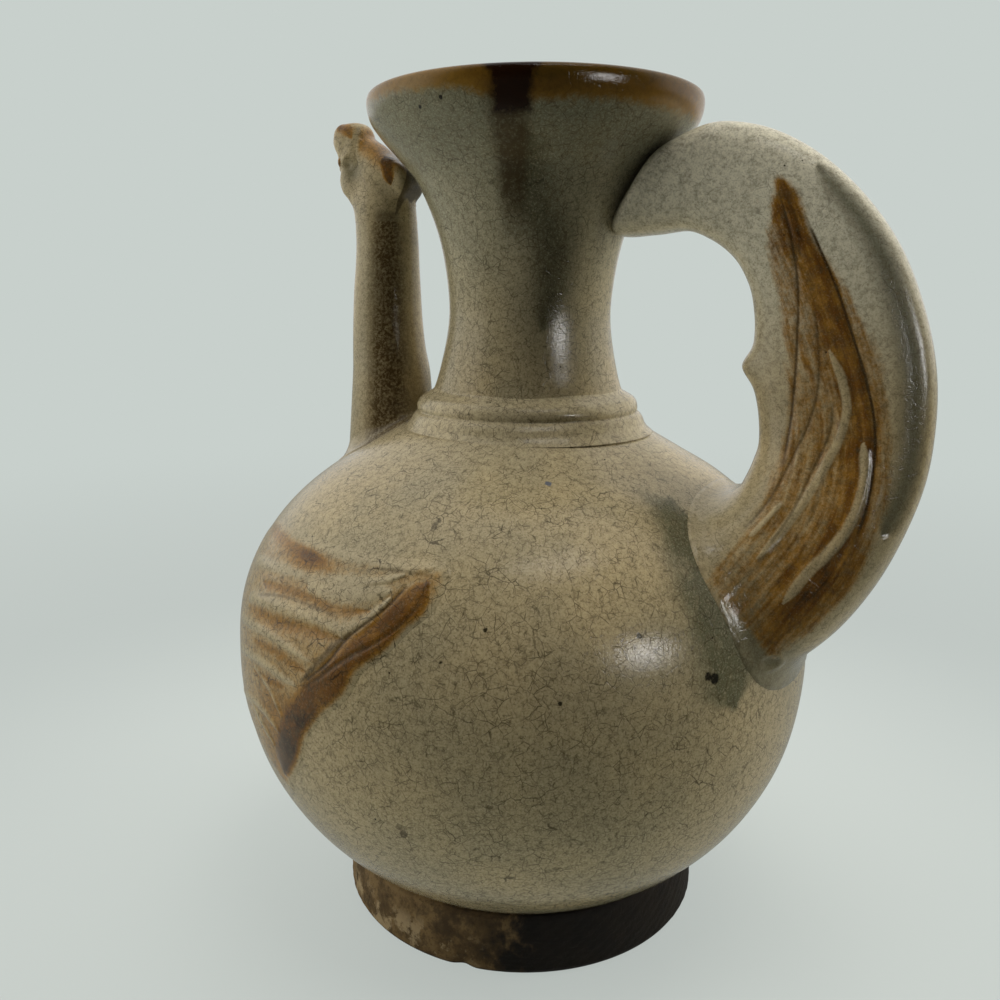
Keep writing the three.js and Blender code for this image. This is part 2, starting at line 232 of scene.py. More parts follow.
def even(outline, count):
    """The outline read again at places evenly spaced along its length."""
    at = np.concatenate([[0], np.cumsum(np.linalg.norm(np.diff(outline, axis=0), axis=1))])
    where = np.linspace(0, at[-1], count)
    return np.stack([np.interp(where, at, outline[:, i]) for i in range(outline.shape[1])], axis=1)


def smooth(low, high, value):
    """0 below low, 1 above high, and a cubic step between them."""
    t = np.clip((value - low) / (high - low), 0, 1)
    return t * t * (3 - 2 * t)


def belly_radius(z):
    """Radius of the belly at a height: one curve below its widest place and one above it, each a quarter
    superellipse with a reach and a power, then a straight shoulder up to the collar."""
    z = np.asarray(z, float)
    reach, power = (np.where(z < BELLY_MIDDLE, *pair) for pair in zip(BELLY_BELOW, BELLY_ABOVE))
    share = np.clip(np.abs(z - BELLY_MIDDLE) / reach, 0, 1)
    curved = BELLY_RADIUS * (1 - share**power) ** (1 / power)
    straight = SHOULDER[0] + SHOULDER_SLOPE * (SHOULDER[1] - z)
    blend = smooth(SHOULDER_BEND - 5, SHOULDER_BEND + 3, z)
    return curved * (1 - blend) + straight * blend


def waves(angle, z, size):
    """The slight unevenness of a thrown wall: a sum of five slow waves round it and up it."""
    return size * (
        0.5 * np.sin(2 * angle + 0.7 + z / 61)
        + 0.3 * np.sin(3 * angle - 1.9 - z / 37)
        + 0.2 * np.sin(5 * angle + 2.3 + z / 29)
        + 0.22 * np.sin(z / 7.1 + 0.6 * np.sin(angle + 1.1))
        + 0.12 * np.sin(z / 3.7 + 1.3 * np.sin(2 * angle))
    )


def normals(grid):
    """Unit normals of rings of points, outwards: the cross product of the differences along both ways."""
    round_it = (np.roll(grid, -1, axis=1) - np.roll(grid, 1, axis=1)) / 2
    out = np.cross(np.gradient(grid, axis=0), round_it)
    out *= np.sign(np.sum(out * (grid - grid.mean(axis=1, keepdims=True))))
    return out / np.maximum(np.linalg.norm(out, axis=2, keepdims=True), 1e-12)


def turned(profile, turns, wobble, lean=False):
    """The profile's [radius, height] points carried round the axis. The wobble, a function of the angle
    and the height, is added to the radius. A lean shifts and shears what is above the shoulder along X."""
    angle = np.linspace(0, 2 * np.pi, turns, endpoint=False)
    radius = profile[:, :1] + wobble(angle[None, :], profile[:, 1:])
    z = np.repeat(profile[:, 1:], turns, axis=1)
    shift = NECK_SHIFT + NECK_LEAN * (z - SHOULDER[1]) / (LIP - SHOULDER[1]) if lean else 0.0
    return np.stack([radius * np.cos(angle) + shift, radius * np.sin(angle), z], axis=2)


def loft(centres, tilts, a, b, count, fullness=2.0):
    """Rings carried along centres in the bird's plane: each reaches a along its tilted direction and b
    across the plane, as a superellipse of the given fullness. Its points are evenly spaced once its
    reach across is squashed, which brings them closer together on both flanks."""
    turn = np.linspace(0, 2 * np.pi, 721)
    c, s = (np.sign(way) * np.abs(way) ** (2 / fullness) for way in (np.cos(turn), np.sin(turn)))
    squash = 0.6
    c, s = even(np.stack([c, squash * s], axis=1), count + 1)[:-1].T
    x = centres[:, :1] + np.cos(tilts)[:, None] * a[:, None] * c
    z = centres[:, 1:] + np.sin(tilts)[:, None] * a[:, None] * c
    return np.stack([x, b[:, None] * s / squash, z], axis=2)


def carried(stations, count, full, share=1.0):
    """Rings through [reach, height, tilt in degrees, half-length, half-width] stations towards -X, which
    pass by each ring's share from round ones to ones of the given fullness."""
    reach, height, tilt, a, b = stations.T
    ring = (np.stack([-reach, height], axis=1), np.radians(tilt), a, b, count)
    share = np.reshape(share, (-1, 1, 1))
    return loft(*ring) * (1 - share) + loft(*ring, full) * share


def clearance(grid):
    """Distance of each point from the belly's surface, outwards, by the slope of its outline."""
    z = np.clip(grid[..., 2], 4, SHOULDER[1])
    radius = belly_radius(z)
    slope = belly_radius(z + 0.5) - belly_radius(z - 0.5)
    return (np.hypot(grid[..., 0], grid[..., 1]) - radius) / np.sqrt(1 + slope**2)


def belly_normal(grid):
    """Unit normal of the belly beneath each point."""
    z = np.clip(grid[..., 2], 4, SHOULDER[1])
    slope = belly_radius(z + 0.5) - belly_radius(z - 0.5)
    r = np.maximum(np.hypot(grid[..., 0], grid[..., 1]), 1e-6)
    out = np.stack([grid[..., 0] / r, grid[..., 1] / r, -slope], axis=-1)
    return out / np.linalg.norm(out, axis=-1, keepdims=True)


def skirt(out, base, height, radius):
    """How far clay at a height over a base is smoothed out along it: a quarter circle of the radius."""
    near = np.clip(1 - height / radius, 0, 1)
    along = out - base * np.sum(out * base, axis=-1, keepdims=True)
    along /= np.maximum(np.linalg.norm(along, axis=-1, keepdims=True), 0.35)
    return along * (radius * (1 - np.sqrt(1 - near**2)))[..., None]


def filleted(grid, radius):
    """The grid spread where it nears the belly, as clay is smoothed down round a joint."""
    above = np.maximum(grid[..., 2] - SHOULDER[1], 0)
    return grid + skirt(normals(grid), belly_normal(grid), clearance(grid) + above, radius)


def blended(grid, base, radius):
    """The grid spread where it nears a base surface, as clay is smoothed down round a joint: each point's
    height over the base is taken along the normal of the base's nearest point."""
    out = normals(grid)
    spots = base.reshape(-1, 3)
    ways = normals(base).reshape(-1, 3)
    moved = grid.copy()
    for row in range(len(grid)):
        gap = grid[row][:, None] - spots[None]
        nearest = np.argmin(np.einsum("ijk,ijk->ij", gap, gap), axis=1)
        height = np.sum((grid[row] - spots[nearest]) * ways[nearest], axis=1)
        moved[row] += skirt(out[row], ways[nearest], height, radius) * (height > -radius)[:, None]
    return moved


# Lines and fields drawn on a surface


def line_to(points, places, count=36):
    """Distance of each point from the smooth line through the places, negative on its right, and the share
    of the line's length at its nearest point."""
    curve = through(places, count)
    flat = points.reshape(-1, 2)
    nearest = np.full(len(flat), 1e9)
    share = np.zeros(len(flat))
    for k, (start, end) in enumerate(zip(curve[:-1], curve[1:])):
        way = end - start
        t = np.clip((flat - start) @ way / (way @ way), 0, 1)
        gap = flat - start - t[:, None] * way
        distance = np.hypot(gap[:, 0], gap[:, 1]) * np.where(way[0] * gap[:, 1] < way[1] * gap[:, 0], -1, 1)
        closer = np.abs(distance) < np.abs(nearest)
        nearest = np.where(closer, distance, nearest)
        share = np.where(closer, (k + t) / (count - 1), share)
    return nearest.reshape(points.shape[:-1]), share.reshape(points.shape[:-1])


def stroke(points, places, width, ends=(0.12, 0.12)):
    """A stroke along a line: 1 in its middle and 0 at its half width, thinning out over its ends."""
    distance, share = line_to(points, places)
    thin = np.minimum(np.clip(share / ends[0], 0, 1), np.clip((1 - share) / ends[1], 0, 1))
    half = width * np.sqrt(0.03 + 0.97 * thin)
    return smooth(1, 0, np.abs(distance) / half)


def strokes(points, curves, ends):
    """The strongest at each point of several strokes, each given by its line and its half width."""
    return np.max([stroke(points, places, width, ends) for places, width in curves], axis=0)


def lines(points, curves):
    """Distance of each point from the nearest of several lines, negative on its right, and how strongly
    that line shows there: its weight, faded away from it and at its ends."""
    across = np.full(points.shape[:-1], 99.0)
    near = np.zeros(points.shape[:-1])
    for places, weight in curves:
        distance, share = line_to(points, places, 60)
        shown = weight * smooth(0, 0.1, share) * smooth(1, 0.9, share) * np.exp(-((distance / 1.5) ** 2))
        closer = np.abs(distance) < np.abs(across)
        across = np.where(closer, distance, across)
        near = np.where(closer, shown, near)
    return across, near


def within(points, outline):
    """Distance of each point from a closed outline, positive inside it and negative outside. A point is
    inside where a ray along X crosses the outline an odd number of times."""
    outline = np.asarray(outline, float)
    corners = through(np.vstack([outline, outline[:1]]), 120)
    distance = line_to(points, np.vstack([outline, outline[:1]]), 120)[0]
    inside = np.zeros(points.shape[:-1], bool)
    for start, end in zip(corners[:-1], corners[1:]):
        between = (start[1] > points[..., 1]) != (end[1] > points[..., 1])
        rise = end[1] - start[1] if end[1] != start[1] else 1e-9
        crossing = start[0] + (points[..., 1] - start[1]) * (end[0] - start[0]) / rise
        inside ^= between & (points[..., 0] < crossing)
    return np.where(inside, np.abs(distance), -np.abs(distance))


def bump(points, place, radius):
    """1 at a place, falling smoothly to nothing around it."""
    return np.exp(-np.sum((points - np.asarray(place, float)) ** 2, axis=-1) / radius**2)


def thrown(angle, z):
    """The slow waves of the thrown wall, which mostly lessen the belly's radius, and fade out at its foot
    and its shoulder."""
    return (waves(angle, z, 0.3) - 0.3) * smooth(15, 30, z) * smooth(141, 132, z)


def unrolled(grid):
    """Each point's [way round the belly's widest line from the flank's middle towards the tail, height]."""
    turn = np.arctan2(grid[..., 0], np.abs(grid[..., 1]))
    return np.stack([turn * BELLY_RADIUS, grid[..., 2]], axis=-1)


# Pieces


def quads(rows, columns, ring=False):
    """Corners of the faces between rows of points that close round, and in a ring between the last row
    and the first."""
    i = np.arange(rows if ring else rows - 1)[:, None]
    j = np.arange(columns)[None, :]
    k = (i + 1) % rows
    n = (j + 1) % columns
    corners = np.broadcast_arrays(i * columns + j, i * columns + n, k * columns + n, k * columns + j)
    return np.stack(corners, axis=-1).reshape(-1, 4)


def add_piece(node, grid, material, ring=False, marks=None, surface="glazed"):
    """A closed mesh in place of a CAD node, from rows of points that close round. In a ring the last row
    joins the first. Otherwise a fan closes each end. Marks are numbers kept at each point."""
    rows, columns = grid.shape[:2]
    points = grid.reshape(-1, 3)
    faces = quads(rows, columns, ring)
    fans = np.zeros((0, 3), int)
    poles = []
    if not ring:
        around = np.arange(columns)
        after = (around + 1) % columns
        first = len(points)
        last = (rows - 1) * columns
        poles = [grid[0].mean(axis=0), grid[-1].mean(axis=0)]
        fans = np.vstack([
            np.stack([np.full(columns, first), after, around], axis=1),
            np.stack([np.full(columns, first + 1), last + around, last + after], axis=1),
        ])
        points = np.vstack([points, poles])
    triangles = np.vstack([faces[:, [0, 1, 2]], faces[:, [0, 2, 3]], fans])
    a, b, c = (points[triangles[:, m]] for m in range(3))
    if np.sum(np.cross(a, b) * c) < 0:
        faces = faces[:, ::-1]
        fans = fans[:, ::-1]
    points = points * MM
    points[:, 0] += AXIS
    mesh = bpy.data.meshes.new(f"{node}_{surface}")
    mesh.from_pydata(points.tolist(), [], faces.tolist() + fans.tolist())
    for key, values in (marks or {}).items():
        values = np.concatenate([np.broadcast_to(values, (rows, columns)).ravel(), np.zeros(len(poles))])
        mesh.attributes.new(key, "FLOAT", "POINT").data.foreach_set("value", values.astype(np.float32))
    mesh.shade_smooth()
    mesh.update()
    mesh.materials.append(material)
    piece = bpy.data.objects.new(f"{node}_{surface}", mesh)
    bpy.context.scene.collection.objects.link(piece)
    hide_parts(node)
    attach(piece, "root")


# Materials


class Term:
    """A shader socket in an expression: sums, products and powers of it add Math nodes."""

    def __init__(self, finish, socket):
        self.finish = finish
        self.socket = socket

    def math(self, operation, *others):
        return self.finish.node("ShaderNodeMath", {"operation": operation}, self, *others)[0]

    def __add__(self, other):
        return self.math("ADD", other)

    __radd__ = __add__

    def __mul__(self, other):
        return self.math("MULTIPLY", other)

    __rmul__ = __mul__

    def __sub__(self, other):
        return self.math("SUBTRACT", other)

    def __rsub__(self, other):
        return self.finish.node("ShaderNodeMath", {"operation": "SUBTRACT"}, other, self)[0]

    def __pow__(self, other):
        return self.math("POWER", other)

    def limit(self):
        """The same value kept between 0 and 1."""
        self.socket.node.use_clamp = True
        return self

    def most(self, other):
        return self.math("MAXIMUM", other)

    def step(self, low, high):
        """0 below low, 1 above high, smooth between them. Where low is the greater, 1 below high instead."""
        ends = (low, high, 0.0, 1.0) if low < high else (high, low, 1.0, 0.0)
        return self.finish.node("ShaderNodeMapRange", {"interpolation_type": "SMOOTHSTEP"}, self, *ends)[0]


class Finish:
    """The shader of a material or of the world, being built."""

    def __init__(self, owner):
        self.owner = owner
        owner.use_nodes = True
        self.tree = owner.node_tree
        self.tree.nodes.clear()

    def node(self, kind, settings, *inputs, **named):
        """A node of a kind: its settings first, then its inputs in order or by name. Gives its outputs."""
        count = len(self.tree.nodes)
        made = self.tree.nodes.new(kind)
        made.location = (200 * (count % 24), -220 * (count // 24))
        for key, value in settings.items():
            setattr(made, key, value)
        pairs = list(zip([s for s in made.inputs if s.enabled], inputs))
        pairs += [(made.inputs[key.replace("_", " ")], value) for key, value in named.items()]
        for socket, value in pairs:
            if isinstance(value, Term):
                self.tree.links.new(value.socket, socket)
            else:
                socket.default_value = value
        return [Term(self, s) for s in made.outputs if s.enabled]

    def mark(self, name):
        """The numbers kept at a mesh's points under a name."""
        return self.node("ShaderNodeAttribute", {"attribute_name": name})[2]

    def vector(self, operation, *inputs, **named):
        """The outcome of a Vector Math node."""
        return self.node("ShaderNodeVectorMath", {"operation": operation}, *inputs, **named)[0]

    def noise(self, vector, size, detail=3.0, rough=0.55):
        """Noise of a feature size in millimetres, from 0 to 1."""
        return self.node("ShaderNodeTexNoise", {}, vector, 1.0 / size, detail, rough)[0]

    def mix(self, share, first, second):
        """The second colour over the first by the share. A tuple is a colour as on a screen, 0 to 255."""
        made = []
        for colour in (first, second):
            if isinstance(colour, tuple):
                colour = linear(*colour)
            made.append(colour if isinstance(colour, Term) else (*colour, 1.0))
        return self.node("ShaderNodeMix", {"data_type": "RGBA"}, share, *made)[0]

    def shift(self, vector, amount, size):
        """The place moved about by a noise of a size, so that lines in it aren't straight."""
        drift = self.node("ShaderNodeTexNoise", {}, vector, 1.0 / size, 2.0, 0.5)[1]
        centred = self.vector("SUBTRACT", drift, (0.5, 0.5, 0.5))
        return self.vector("ADD", vector, self.vector("SCALE", centred, Scale=amount))

    def edges(self, vector, size):
        """Distance to the nearest border between random cells of a size, in shares of the size."""
        return self.node("ShaderNodeTexVoronoi", {"feature": "DISTANCE_TO_EDGE"}, vector, 1.0 / size)[0]

    def spots(self, vector, size):
        """Distance from the nearest of random points of a spacing, in shares of it."""
        return self.node("ShaderNodeTexVoronoi", {"feature": "F1"}, vector, 1.0 / size)[0]

    def shade(self, colour, roughness, relief=None, **fixed):
        """The surface shader and, where a relief is given, the bump of its height, its strength and its
        distance in millimetres."""
        if relief:
            height, strength, distance = relief
            bump = self.node("ShaderNodeBump", {}, Strength=strength, Distance=distance * MM, Height=height)
            fixed["Normal"] = bump[0]
        return self.node("ShaderNodeBsdfPrincipled", {}, Base_Color=colour, Roughness=roughness, **fixed)[0]

    def done(self, shader, output="ShaderNodeOutputMaterial"):
        """The finished material or world, with the shader as its surface."""
        self.node(output, {}, shader)
        return self.owner


def begun(name):
    """A material being built, the point's place in millimetres from the belly's axis, and its x, y and z."""
    f = Finish(bpy.data.materials.new(name))
    spot = f.node("ShaderNodeTexCoord", {})[3]
    scale = (1 / MM, 1 / MM, 1 / MM)
    place = f.node("ShaderNodeMapping", {}, spot, (-AXIS / MM, 0, 0), (0, 0, 0), scale)[0]
    return f, place, *f.node("ShaderNodeSeparateXYZ", {}, place)


def linear(red, green, blue):
    """A colour written as on a screen, from 0 to 255, as the shader reads it."""
    c = np.array([red, green, blue]) / 255
    return tuple(np.where(c <= 0.04045, c / 12.92, ((c + 0.055) / 1.055) ** 2.4))


def crackle(f, place, net=1.0):
    """The glaze's own detail: two nets of thin dark lines that fade in and out, mottling on two scales,
    pinholes, and the relief of all these."""
    wide = f.edges(f.shift(place, 1.0, 2.6), 3.8)
    fine = f.edges(f.shift(place, 0.4, 1.0), 1.9)
    patch = f.noise(place, 6.0, 4.0, 0.6)
    cloud = f.noise(place, 1.7, 5.0, 0.7)
    grain = f.noise(place, 0.5, 3.0, 0.65)
    line = (1 - wide.step(0.005, 0.032)) * (0.2 + patch.step(0.42, 0.62) * 0.8)
    line = line.most((1 - fine.step(0.008, 0.062)) * cloud.step(0.4, 0.58) * 0.75)
    pin = 1 - f.spots(place, 9.0).step(0.018, 0.04)
    relief = line * -0.3 + grain * 0.8 + cloud * 0.35 - pin * 1.5
    return (line * net).most(pin), cloud, grain, relief


def ground(f, place, height):
    """The colour of the bare glaze: warm grey-beige, darker lower down as painted shade, greyer and cooler
    up the neck, with wide clouds.
    """
    wide = f.noise(place, 30.0, 3.0).step(0.32, 0.68)
    warm = f.mix(wide, (186, 168, 128), (162, 150, 118))
    cool = f.mix(wide, (164, 159, 134), (146, 143, 120))
    # Darker lower down: painted shade.
    warm = f.mix(height.step(118.0, 60.0) * 0.3, warm, (146, 134, 106))
    return f.mix(height.step(150.0, 212.0) * 0.85, warm, cool)


def worked(f, colour, detail, dark=0.95, pale=0.3):
    """A glaze colour with its mottling, its pale grain and its dark lines over it."""
    line, cloud, grain, _ = detail
    colour = f.mix(cloud.step(0.4, 0.72) * 0.45, colour, (98, 87, 60))
    colour = f.mix(grain.step(0.46, 0.7) * 0.4, colour, (88, 76, 50))
    colour = f.mix(grain.step(0.5, 0.28) * pale, colour, (206, 192, 160))
    return f.mix((line * dark).limit(), colour, (36, 26, 12))


def ironed(f, colour, iron):
    """Iron brown brushed over a glaze colour: tan where it is thin, amber, then nearly black."""
    colour = f.mix(iron.step(0.0, 0.3) * 0.85, colour, (172, 134, 74))
    colour = f.mix(iron.step(0.2, 0.6), colour, (145, 104, 40))
    colour = f.mix(iron.step(0.55, 0.9), colour, (104, 66, 18))
    return f.mix(iron.step(0.85, 1.15), colour, (48, 26, 9))


def glossy(f, colour, detail):
    """The glaze's surface: glossy, a little clouded, with a fine orange-peel relief."""
    _, cloud, _, relief = detail
    return f.done(f.shade(colour, cloud * 0.06 + 0.04, (relief, 0.6, 0.1)))


def dotted(f, colour, place, dots, radius):
    """Small marks at places given by their angle round the axis, height, size and colour, on a wall whose
    radius is a function of the height."""
    moved = f.shift(place, 0.9, 1.2)
    for turn, height, size, shade in dots:
        around = math.radians(turn)
        spot = (radius(height) * math.cos(around), radius(height) * math.sin(around), height)
        near = f.vector("DISTANCE", moved, spot).step(size, size * 0.6)
        colour = f.mix(near * 0.9, colour, shade)
    return colour


def body_glaze(name):
    """Glaze of the belly and the collar, painted paler up there as painted light, with a black chip, a blue
    speck, a few pits and a greenish patch of painted shade where the tail's root meets the belly."""
    f, place, _, _, z = begun(name)
    detail = crackle(f, place, 0.72)
    # Paler over the shoulder and the collar: painted light.
    base = f.mix(z.step(128.0, 144.0) * 0.45, ground(f, place, z), (208, 194, 158))
    # A darker greenish patch where the tail's root meets the belly: painted shade.
    tail_root_shade = f.mark("tail_root_shade") * (f.noise(place, 5.0, 3.0).step(0.2, 0.6) * 0.5 + 0.5)
    colour = f.mix((tail_root_shade * 1.3).limit() * 0.85, base, (74, 79, 58))
    colour = worked(f, colour, detail)
    pits = [(-70, 104.5, 0.75), (-91, 85, 0.7), (-58, 89, 0.8), (-77, 97, 0.7)]
    colour = dotted(f, colour, place, [
        (-30.9, 89.9, 1.7, (10, 9, 8)), (-32.2, 90.8, 1.3, (12, 10, 8)), (-56.5, 133, 1.1, (92, 98, 112)),
        (-44.3, 102.2, 0.9, (60, 56, 44)), *((*pit, (20, 14, 8)) for pit in pits),
    ], lambda height: float(belly_radius(height)))
    return glossy(f, colour, detail)


def neck_glaze(name):
    """Glaze of the neck: an iron-brown band round the mouth, thicker over a stretch of it and deepened over
    part of its round as painted shade, with a nearly black patch, a streak and dark pinholes below it, the
    glaze darker under the flaring mouth as painted shade, and a greenish dark band of painted shade and
    painted dark reflection down the neck."""
    f, place, _, _, z = begun(name)
    detail = crackle(f, place, 0.5)
    cloud = detail[1]
    # Darker under the flaring mouth: painted shade.
    base = f.mix(z.step(200.0, 226.0) * 0.7, ground(f, place, z), (102, 103, 82))
    # A greenish dark band down the middle of the neck: painted shade and painted dark reflection.
    base = f.mix((f.mark("neck_shade") * (cloud + 0.5)).limit() * 0.8, base, (62, 65, 45))
    base = worked(f, base, detail, 0.8)
    fray = f.noise(place, 2.2, 4.0, 0.65) - 0.5
    wide = f.noise(place, 12.0, 2.0)
    band = f.mark("band") + fray * 5.0
    depth = band.step(-2.0, 3.0) * 0.22 + band.step(0.5, 8.0) * 0.3 + cloud * 0.3 + wide * 0.3 - 0.12
    # Deeper iron over a part of the band's round: painted shade.
    depth = depth + f.mark("deep") * 0.32
    iron = f.mix(cloud * 0.4 + 0.3, ironed(f, (150, 130, 84), depth), (92, 75, 30))
    colour = f.mix(band.step(-1.5, 1.5), base, iron)
    streak = (f.mark("streak") * (f.noise(place, 1.3, 4.0, 0.7).step(0.3, 0.6) * 0.55 + 0.55)).limit()
    colour = f.mix(streak * 0.85, colour, (56, 42, 18))
    patch = (f.mark("patch") + fray * 0.9).step(0.2, 0.8)
    colour = f.mix(patch * 0.96, colour, (30, 14, 7))
    colour = f.mix((detail[0] * 0.6).limit(), colour, (30, 20, 9))
    pits = [
        (-125, 234, 0.8), (-113, 232.5, 0.7), (-108, 232.1, 0.7), (-99, 230.9, 0.75), (-90, 232.5, 0.8),
        (-78, 229.9, 0.8),
    ]
    below = [(*pit, (16, 12, 8)) for pit in pits]
    return glossy(f, dotted(f, colour, place, below, lambda height: 49.4 - (233 - height) * 0.7), detail)


def tube_glaze(name):
    """Glaze of the spout, with a speckled brown band down each side, partly brown iron and partly painted
    shade where the side faces the dark side of the room.
    """
    f, place, _, _, z = begun(name)
    detail = crackle(f, place, 0.4)
    speck = f.noise(place, 0.9, 3.0, 0.7).step(0.36, 0.6) * 0.6 + 0.4
    # Brown iron with painted shade down the side that faces the dark side of the room.
    iron_and_shade_stripe = f.mark("iron_and_shade_stripe") * (0.6 + f.noise(place, 5.0, 2.0) * 0.8)
    colour = worked(f, ground(f, place, z * 0.62), detail, 0.6)
    return glossy(f, f.mix((iron_and_shade_stripe * speck).limit() * 0.92, colour, (66, 48, 19)), detail)


def painted_glaze(name, deep=0.5, net=1.0, rise=1.0, upper=None):
    """Glaze under brushed iron of a depth: the marks give the iron, the pale and the cream slip, the cool
    grey of thick glaze and of painted shade, darker marks of incised lines and of painted shade, the dark
    lines cut in it, and the ways across and along the brush strokes. Where an upper colour is given, the
    bare glaze passes to it with the height, partly a paler glaze and partly painted light."""
    f, place, _, _, z = begun(name)
    detail = crackle(f, place, net)
    cloud = detail[1]
    bare = ground(f, place, z * rise)
    # Paler towards the top: partly a paler glaze, partly painted light.
    bare = f.mix(z.step(140.0, 218.0) * 0.92, bare, upper) if upper else bare
    # Cool grey: thick glaze, and painted shade where the tail meets the belly and in its outer groove.
    bare = f.mix(f.mark("cool") * 0.85, bare, (90, 91, 72))
    bare = f.mix(f.mark("pale") * 0.3, bare, (196, 180, 146))
    fray = f.noise(place, 1.5, 4.0, 0.68) - 0.5
    way = f.node("ShaderNodeCombineXYZ", {}, f.mark("flow"), f.mark("along") * 0.07, 0.0)[0]
    hairs = f.noise(way, 1.5, 3.0, 0.6) - 0.5
    iron = f.mark("iron")
    tone = f.noise(place, 7.0, 3.0) * 0.7 + cloud * 0.35 + hairs * 1.0 + iron * 0.7 + (deep - 0.93)
    cover = (iron + fray * 0.7 + hairs * 0.8).step(0.08, 0.74)
    colour = f.mix(cover, bare, ironed(f, (176, 152, 106), tone))
    cream = (f.mark("cream") + fray * 0.4 + hairs * 0.5).step(0.2, 0.7)
    colour = f.mix(cream * 0.72, colour, (184, 170, 132))
    # Dark: an incised line, the eye's hollow, and painted shade on the crest's underside and down the spout.
    dark = (f.mark("dark") + fray * 0.3).step(0.2, 0.75)
    colour = f.mix(dark * 0.85, colour, (56, 44, 24))
    away = f.mark("across").math("ABSOLUTE")
    cut = ((1 - away.step(0.1, 0.6)) * 0.8 + (1 - away.step(0.0, 1.8)) * 0.35) * f.mark("near")
    colour = f.mix((cut * (cloud * 0.9 + 0.45)).limit(), colour, (50, 32, 10))
    return glossy(f, worked(f, colour, detail, 0.95, 0.12), detail)


def bare_clay(name):
    """Bare stoneware: rough, tan to dark brown with scorched patches, turning lines and grit."""
    f, place, x, y, z = begun(name)
    flat = f.node("ShaderNodeCombineXYZ", {}, x * 0.12, y * 0.12, z)[0]
    rings = f.noise(flat, 0.9, 3.0, 0.6)
    grit = f.noise(place, 0.8, 4.0, 0.7)
    patch = f.noise(place, 9.0, 5.0, 0.65)
    burnt = (x * 0.06 + (patch - 0.5) * 2.0 - 1.0).step(0.0, 0.5)
    colour = f.mix(patch.step(0.4, 0.6), (120, 98, 64), (82, 65, 40))
    colour = f.mix((1 - f.noise(place, 5.0, 4.0, 0.7).step(0.36, 0.5)) * 0.6, colour, (58, 47, 32))
    colour = f.mix(grit.step(0.5, 0.72) * 0.6, colour, (56, 43, 26))
    colour = f.mix(burnt * 0.96, colour, (20, 15, 9))
    pale = f.noise(place, 6.0, 5.0, 0.7).step(0.5, 0.6) * x.step(18.0, 6.0) * x.step(-45.0, -30.0)
    colour = f.mix(pale * z.step(12.0, 6.0) * 0.75, colour, (168, 148, 112))
    colour = f.mix(z.step(1.4, 0.2) * 0.7, colour, (24, 19, 13))
    height = rings * 0.5 + grit * 0.9 + patch * 0.8
    return f.done(f.shade(colour, burnt * -0.2 + 0.85, (height, 0.8, 0.45), Specular_IOR_Level=0.25))


# Scene settings and operators


class EwerSettings(bpy.types.PropertyGroup):
    camera_lens: bpy.props.FloatProperty(
        name="Lens", description="Focal length of the camera over a 36 mm wide sensor",
        default=35.28, min=10)
    backdrop: bpy.props.FloatVectorProperty(
        name="Backdrop", description="Pale colour behind the ewer", subtype="COLOR",
        default=linear(200, 208, 204), min=0, max=1)


class EWER_OT_stage(bpy.types.Operator):
    """Makes the camera, the lights, the world and the pale floor"""

    bl_idname = "ewer.stage"
    bl_label = "Stage"

    def execute(self, context):
        scene = context.scene
        scene.view_settings.view_transform = "Standard"
        place_camera(scene, scene.ewer)
        light_world(scene, scene.ewer.backdrop)
        add_lamps(scene)
        lay_floor(scene, scene.ewer.backdrop)
        return {"FINISHED"}


def place_camera(scene, settings):
    """The photograph's view: the camera stands 301.5 mm from the ewer's axis and 183.5 mm up, turned
    1.3 degrees and tilted 4.5 degrees down, with the frame shifted so that verticals stay upright."""
    data = bpy.data.cameras.new("Camera")
    data.lens = settings.camera_lens
    data.sensor_width = 36
    data.shift_y = CAMERA_SHIFT
    data.clip_start = 0.01
    data.clip_end = 20
    camera = bpy.data.objects.new("Camera", data)
    scene.collection.objects.link(camera)
    turns = (CAMERA_AROUND, CAMERA_HEADING, CAMERA_DROP, CAMERA_ROLL)
    around, heading, drop, roll = map(math.radians, turns)
    away = CAMERA_DISTANCE * Vector((math.sin(around), -math.cos(around), 0))
    level = Vector((math.cos(heading), math.sin(heading), 0))
    forward = level * math.cos(drop) - Vector((0, 0, math.sin(drop)))
    right = forward.cross(Vector((0, 0, 1))).normalized()
    up = right.cross(forward)
    side = right * math.cos(roll) + up * math.sin(roll)
    top = up * math.cos(roll) - right * math.sin(roll)
    turn = Matrix((side, top, -forward)).transposed().to_4x4()
    camera.matrix_world = Matrix.Translation(away + Vector((AXIS, 0, CAMERA_HEIGHT))) @ turn
    scene.camera = camera


def light_world(scene, backdrop):
    """A pale room that is dark on one side of the ewer, and half as bright in reflections. The camera
    sees an even backdrop."""
    scene.world = bpy.data.worlds.new("Studio")
    f = Finish(scene.world)
    facing = f.vector("DOT_PRODUCT", f.node("ShaderNodeTexCoord", {})[0], DARK_SIDE)
    camera, _, _, glossy = f.node("ShaderNodeLightPath", {})[:4]
    strength = facing.step(0.42, -0.06) * 1.3 * (glossy * -0.5 + 1)
    room = f.node("ShaderNodeBackground", {}, (1.0, 1.0, 0.97, 1.0), strength)[0]
    seen = f.node("ShaderNodeBackground", {}, (*backdrop, 1.0))[0]
    f.done(f.node("ShaderNodeMixShader", {}, camera, room, seen)[0], "ShaderNodeOutputWorld")


